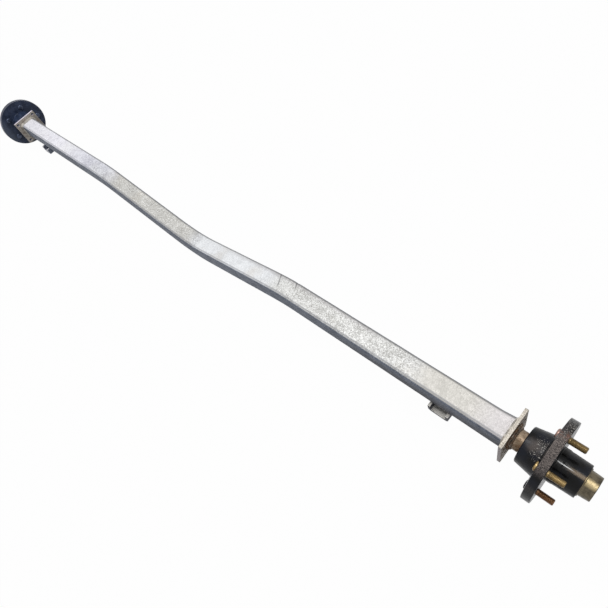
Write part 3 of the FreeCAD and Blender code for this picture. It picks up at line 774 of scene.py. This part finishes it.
def put_on_end(piece, sign):
    """Tips a piece made at x = 0 about the plate's middle, then puts it on the end of that sign."""
    pivot = Matrix.Translation(((plate_inner - plate_outer) / 2, 0, 0))
    tipped = pivot @ Matrix.Rotation(camber, 4, "Y") @ pivot.inverted()
    turn = Matrix.Rotation(math.pi if sign < 0 else 0.0, 4, "Z")
    piece.data.transform(Matrix.Translation((sign * plate_outer, 0, axle_height)) @ turn @ tipped)


def roughen(piece, rules):
    """Moves each point along its normal by noise; rules are (height, grain size, mask) triples."""
    normals = [vertex.normal.copy() for vertex in piece.data.vertices]
    for vertex, normal in zip(piece.data.vertices, normals):
        lift = 0.0
        for height, grain, mask in rules:
            share = mask(vertex.co)
            if share > 0:
                lift += height * share * noise.noise(vertex.co / grain)
        vertex.co += normal * lift


def as_cast(co):
    """Share of the cast roughness: full on both barrels, slight on the flange's inboard face."""
    x = co.x / mm
    r = math.hypot(co.y, co.z) / mm
    inboard = min(x - hub_start, flange_in + 1 - x) if r > 32 else 0.0
    outboard = min(x - flange_out - 2, hub_end - 1 - x) if r > 29 else 0.0
    return min(1.0, max(0.0, inboard / 4, outboard / 8))


def on_outside(co):
    r = math.hypot(co.y, co.z) / mm
    return 0.35 if r > 30.5 else 0.0


def cut_holes(piece, radius, circle, count, start, end, turn):
    """Bores a ring of holes through the flange."""
    drill = bmesh.new()
    for i in range(count):
        angle = turn + 2 * math.pi * i / count
        centre = (start + end) / 2 * mm, circle * mm * math.cos(angle), circle * mm * math.sin(angle)
        place = Matrix.Translation(centre) @ Matrix.Rotation(math.pi / 2, 4, "Y")
        bmesh.ops.create_cone(drill, cap_ends=True, segments=48, radius1=radius * mm,
                              radius2=radius * mm, depth=(end - start + 8) * mm, matrix=place)
    mesh = bpy.data.meshes.new("drill")
    drill.to_mesh(mesh)
    drill.free()
    cutter = bpy.data.objects.new("drill", mesh)
    bpy.context.scene.collection.objects.link(cutter)
    modifier = piece.modifiers.new("holes", "BOOLEAN")
    modifier.object = cutter
    modifier.operation = "DIFFERENCE"
    modifier.solver = "EXACT"
    evaluated = piece.evaluated_get(bpy.context.evaluated_depsgraph_get())
    bored = bpy.data.meshes.new_from_object(evaluated)
    piece.modifiers.clear()
    piece.data = bored
    bpy.data.objects.remove(cutter)


stud_turns = {"right": math.radians(56), "left": math.radians(45)}
hub_rings = rounded_outline(hub_outline, 1.3)
for side, sign in (("right", 1), ("left", -1)):
    hub = revolve(side + "_hub_casting", hub_rings, 168, hub_paint)
    roughen(hub, [(0.22 * mm, 5.0 * mm, as_cast), (0.10 * mm, 1.9 * mm, as_cast),
                  (0.30 * mm, 22.0 * mm, on_outside)])
    cut_holes(hub, stud_hole_r, stud_circle, stud_count, flange_in, flange_out, stud_turns[side])
    hub.data.shade_smooth()
    hub.data.set_sharp_from_angle(angle=math.radians(38))
    put_on_end(hub, sign)
    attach(hub, side + "_wheel_hub")
    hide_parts(side + "_hub")

# Wheel studs
# Five M12 studs pressed into each flange from inboard: a domed head, a knurled neck and a rolled
# thread. The right-hand ones are plated yellow and tarnished, the left-hand ones are dull blue-grey.
stud_plating, graph, skin, place = new_material("stud_plating", Specular_IOR_Level=0.4)
spot = graph.split(place["Object"])
patina = graph.spread(noise_value(graph, place["Object"], 45.0, 3.0, 0.5), 0.36, 0.64)
gold = graph.blend(patina, tone(92, 74, 46), tone(136, 114, 72))
facing = graph.split(place["Normal"])
# Painted highlight: the studs' upper sides are painted a lighter tan where they face up
gold = graph.blend(graph.times(graph.spread(facing["Z"], 0.55, 0.95), 0.8), gold, tone(186, 160, 112))
gold = graph.blend(graph.spread(spot["Y"], 20 * mm, 26 * mm, 0.0, 0.6), gold, tone(96, 80, 48))
copper = graph.spread(spot["Y"], -41 * mm, -46 * mm, 0.0, 0.8)
gold = graph.blend(copper, gold, tone(104, 66, 46))
inboard = graph.spread(graph.math("ABSOLUTE", spot["X"]), plate_outer + 59.5 * mm,
                       plate_outer + 58 * mm)
dirty = graph.math("MAXIMUM", graph.spread(spot["Y"], -0.01, 0.0),
                   graph.spread(spot["Z"], 60 * mm, 50 * mm))
crusted = graph.blend(graph.spread(spot["Y"], 0.0, 20 * mm), tone(34, 33, 36), tone(146, 118, 108))
gold = graph.blend(graph.times(inboard, dirty), gold, crusted)
gold = graph.blend(graph.spread(spot["X"], 0.0, -0.5), gold, tone(66, 74, 92))
rust = lay_effect(graph, rust_group, place, Scale=70.0, Amount=0.30)
graph.feed(skin.inputs["Base Color"], graph.blend(rust.outputs["Mask"], gold, rust.outputs["Color"]))
graph.feed(skin.inputs["Metallic"], graph.spread(rust.outputs["Mask"], 0.0, 1.0, 0.6, 0.1))
graph.feed(skin.inputs["Roughness"], graph.spread(rust.outputs["Mask"], 0.0, 1.0, 0.34, 0.8))
add_relief(graph, skin, 0.4, 0.3 * mm, rust.outputs["Height"])

stud_r = 6.0
stud_tip = flange_out + 29.0
thread_pitch = 1.5
thread_depth = 0.50
stud_steps = 40


def thread_radius(x, angle):
    """Radius of the rolled thread at x, running out at its root and at its chamfered tip."""
    phase = (x / thread_pitch - angle / (2 * math.pi)) % 1.0
    groove = abs(2 * phase - 1)
    groove = min(1.0, max(0.0, (groove - 0.12) / 0.72))
    started = min(1.0, max(0.0, (x - flange_out - 1.2) / 1.5))
    radius = stud_r - thread_depth * (1 - groove) * started
    return min(radius, stud_r - 1.5 + (stud_tip - x))


head = flange_in - 5.5
head_r = 9.0
knurl_r = 6.75
knurl_end = flange_out - 1.2
stations = [(head, 0.0), (head, 4.6), (head + 0.25, 6.4), (head + 0.8, 7.6), (head + 1.7, 8.6),
            (head + 2.8, head_r), (flange_in - 0.4, head_r), (flange_in,
                                                              head_r - 0.3), (flange_in, knurl_r),
            (knurl_end, knurl_r), (flange_out - 0.2, stud_r)]
threaded = math.floor((stud_tip - flange_out) / thread_pitch * 10)
stations += [(flange_out + thread_pitch / 10 * k, None) for k in range(threaded + 1)]
stations += [(stud_tip, 4.4), (stud_tip, 0.0)]
vertices = []
faces = []
for x, radius in stations:
    for i in range(stud_steps):
        angle = 2 * math.pi * i / stud_steps
        r = thread_radius(x, angle) if radius is None else radius
        vertices.append((x * mm, r * mm * math.cos(angle), r * mm * math.sin(angle)))
for k in range(len(stations) - 1):
    for i in range(stud_steps):
        here, after = k * stud_steps, (k + 1) * stud_steps
        following = (i + 1) % stud_steps
        faces.append((here + i, here + following, after + following, after + i))


def close_poles(mesh):
    """Joins the points that fall together on an axis and faces the mesh outwards."""
    shape = bmesh.new()
    shape.from_mesh(mesh)
    bmesh.ops.remove_doubles(shape, verts=shape.verts, dist=0.001 * mm)
    bmesh.ops.recalc_face_normals(shape, faces=shape.faces)
    shape.to_mesh(mesh)
    shape.free()


one_stud = new_piece("one_stud", vertices, faces, stud_plating)
close_poles(one_stud.data)

graph, given, ring_out = new_group(
    "stud_ring", "GeometryNodeTree",
    [("Centre", "Geometry", None), ("Stud", "Object", None), ("Count", "Int", stud_count),
     ("Circle Radius", "Float", stud_circle * mm), ("Turn", "Float", 0.0), ("Finish", "Material",
                                                                            None)],
    [("Studs", "Geometry")])
circle = graph.add("GeometryNodeMeshCircle",
                   {"Vertices": given["Count"], "Radius": given["Circle Radius"]})
source = graph.add("GeometryNodeObjectInfo", {"Object": given["Stud"]}, transform_space="ORIGINAL")
index = graph.add("GeometryNodeInputIndex").outputs["Index"]
per_stud = graph.math("DIVIDE", 2 * math.pi, given["Count"])
spin = graph.plus(graph.times(index, per_stud), given["Turn"])
around = graph.add("ShaderNodeCombineXYZ", {"X": spin})
cosine = graph.times(graph.math("COSINE", spin, 0.0), given["Circle Radius"])
sine = graph.times(graph.math("SINE", spin, 0.0), given["Circle Radius"])
seat = graph.add("ShaderNodeCombineXYZ", {"Y": cosine, "Z": sine})
points = graph.add("GeometryNodeMeshToPoints",
                   {"Mesh": circle.outputs["Mesh"], "Position": seat.outputs["Vector"]})
placed = graph.add("GeometryNodeInstanceOnPoints", {
    "Points": points.outputs["Points"], "Instance": source.outputs["Geometry"],
    "Rotation": around.outputs["Vector"]})
real = graph.add("GeometryNodeRealizeInstances", {"Geometry": placed.outputs["Instances"]})
finished = graph.add("GeometryNodeSetMaterial",
                     {"Geometry": real.outputs["Geometry"], "Material": given["Finish"]})
graph.feed(ring_out["Studs"], finished.outputs["Geometry"])
for side, sign in (("right", 1), ("left", -1)):
    studs = grow(side + "_studs", bpy.data.meshes.new("stud_centre"), graph.tree,
                 {"Stud": one_stud, "Turn": stud_turns[side], "Finish": stud_plating})
    studs.data.shade_smooth()
    studs.data.set_sharp_from_angle(angle=math.radians(50))
    put_on_end(studs, sign)
    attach(studs, side + "_wheel_hub")
    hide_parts(side + "_wheel_studs")
bpy.data.objects.remove(one_stud)

# Grease caps
# Drawn steel cups knocked into the hub's end, with a shoulder that seats on it, dull zinc with a
# yellow sheen, a painted highlight along the top and a few knocks from the mallet.
cap_zinc, graph, skin, place = new_material("cap_zinc", Specular_IOR_Level=0.4)
cloudy = graph.spread(noise_value(graph, place["Object"], 85.0, 4.0, 0.6), 0.38, 0.62)
sheen = graph.blend(cloudy, tone(70, 65, 55), tone(106, 98, 82))
grime = graph.spread(noise_value(graph, place["Object"], 60.0, 5.0, 0.7), 0.5, 0.7)
facing = graph.split(place["Normal"])
# Painted highlight: a warm pale tone where the cap faces up
cap_highlight = graph.spread(graph.plus(facing["Z"], graph.times(facing["Y"], -0.15)), 0.93, 1.0)
sheen = graph.blend(graph.times(cap_highlight, 0.45), sheen, tone(196, 176, 132))
graph.feed(skin.inputs["Base Color"], graph.blend(graph.times(grime, 0.55), sheen, tone(64, 56, 48)))
graph.feed(skin.inputs["Metallic"], graph.spread(grime, 0.0, 1.0, 0.8, 0.2))
graph.feed(skin.inputs["Roughness"], graph.spread(grime, 0.0, 1.0, 0.34, 0.7))
drawn = noise_value(graph, place["Object"], 180.0, 3.0)
add_relief(graph, skin, 0.3, 0.3 * mm, drawn)
cap_start = hub_end - 8.0
cap_end = hub_end + 21.5
cap_wall = 1.6
spigot_r = 25.12
collar_r, collar_end = 25.9, hub_end + 1.3
cup_root_r, cup_end_r = 24.6, 23.6
cap_outline = [
    (cap_start, spigot_r - cap_wall - 0.02, 0), (cap_start, spigot_r, 0.4), (hub_end, spigot_r, 0),
    (hub_end, collar_r, 0.3), (collar_end, collar_r, 0.4), (collar_end, cup_root_r, 0.4),
    (cap_end, cup_end_r, 2.0), (cap_end, 0.0, 0), (cap_end - cap_wall, 0.0, 0),
    (cap_end - cap_wall, cup_end_r - cap_wall, 0.6), (hub_end, cup_root_r - cap_wall, 0),
]


def on_cap(co):
    return 1.0 if co.x / mm > hub_end + 2 else 0.0


cap_rings = rounded_outline(cap_outline, 1.0)
for side, sign in (("right", 1), ("left", -1)):
    cap = revolve(side + "_cap", cap_rings, 120, cap_zinc)
    close_poles(cap.data)
    roughen(cap, [(0.16 * mm, 9.0 * mm, on_cap)])
    cap.data.shade_smooth()
    cap.data.set_sharp_from_angle(angle=math.radians(40))
    put_on_end(cap, sign)
    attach(cap, side + "_wheel_hub")
    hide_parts(side + "_grease_cap")

# Studio
# A pale floor under the lowest point of the V, a soft lamp overhead and a dim room. The camera
# and shiny metal see the floor and the room as white, and the floor keeps the axle's shadow.
floor_gap = 1.0 * mm
floor_size = 30.0


def sees_white(graph):
    """1 for rays that show the background: the camera's, and those that mirror or pass through."""
    ray = graph.add("ShaderNodeLightPath").outputs
    shown = graph.math("MAXIMUM", ray["Is Camera Ray"], ray["Is Glossy Ray"])
    return graph.math("MAXIMUM", shown, ray["Is Transmission Ray"])


floor_white = bpy.data.materials.new("floor_white")
floor_white.use_nodes = True
graph = Graph(floor_white.node_tree)
graph.tree.nodes.clear()
matt = graph.add("ShaderNodeBsdfDiffuse", {"Color": (0.34, 0.34, 0.34, 1)})
glow = graph.add("ShaderNodeEmission", {"Color": (1, 1, 1, 1), "Strength": 1.0})
mixed = graph.add("ShaderNodeMixShader")
graph.feed(mixed.inputs[0], graph.times(sees_white(graph), 0.985))
graph.feed(mixed.inputs[1], matt.outputs["BSDF"])
graph.feed(mixed.inputs[2], glow.outputs["Emission"])
graph.add("ShaderNodeOutputMaterial", {"Surface": mixed.outputs["Shader"]})
floor_z = cad_low.z - floor_gap
half = floor_size / 2
floor = new_piece("floor", [(-half, -half, floor_z), (half, -half, floor_z), (half, half, floor_z),
                            (-half, half, floor_z)], [(0, 1, 2, 3)], floor_white)

room = bpy.data.worlds.new("room")
bpy.context.scene.world = room
room.use_nodes = True
graph = Graph(room.node_tree)
graph.tree.nodes.clear()
dim = graph.add("ShaderNodeBackground", {"Color": (0.92, 0.95, 1.0, 1), "Strength": 0.30})
white = graph.add("ShaderNodeBackground", {"Color": (1, 1, 1, 1), "Strength": 1.0})
mixed = graph.add("ShaderNodeMixShader")
graph.feed(mixed.inputs[0], sees_white(graph))
graph.feed(mixed.inputs[1], dim.outputs["Background"])
graph.feed(mixed.inputs[2], white.outputs["Background"])
graph.add("ShaderNodeOutputWorld", {"Surface": mixed.outputs["Shader"]})


def soft_lamp(name, place, target, width, depth, watts):
    lamp = bpy.data.lights.new(name, "AREA")
    lamp.shape = "RECTANGLE"
    lamp.size = width
    lamp.size_y = depth
    lamp.energy = watts
    holder = bpy.data.objects.new(name, lamp)
    holder.location = place
    holder.rotation_euler = (Vector(target) - Vector(place)).to_track_quat("-Z", "Y").to_euler()
    bpy.context.scene.collection.objects.link(holder)


soft_lamp("overhead", (0.0, 0.25, 3.2), (0.0, 0.0, 0.0), 3.4, 1.2, 98.0)

camera = bpy.data.cameras.new("camera")
camera.lens = 30.80
camera.sensor_width = 36.0
camera.shift_x = 0.00406
camera.shift_y = 0.00157
camera.clip_start = 0.01
stand = bpy.data.objects.new("camera", camera)
right = Vector((0.709, 0.648634, -0.276755))
up = Vector((-0.460146, 0.722898, 0.515446))
back = Vector((0.534401, -0.238104, 0.811001))
turn = Matrix((right, up, back)).transposed().to_4x4()
stand.matrix_world = Matrix.Translation((1.092056, -0.289644, 1.002278)) @ turn
bpy.context.scene.collection.objects.link(stand)
bpy.context.scene.camera = stand
bpy.context.scene.view_settings.view_transform = "Standard"
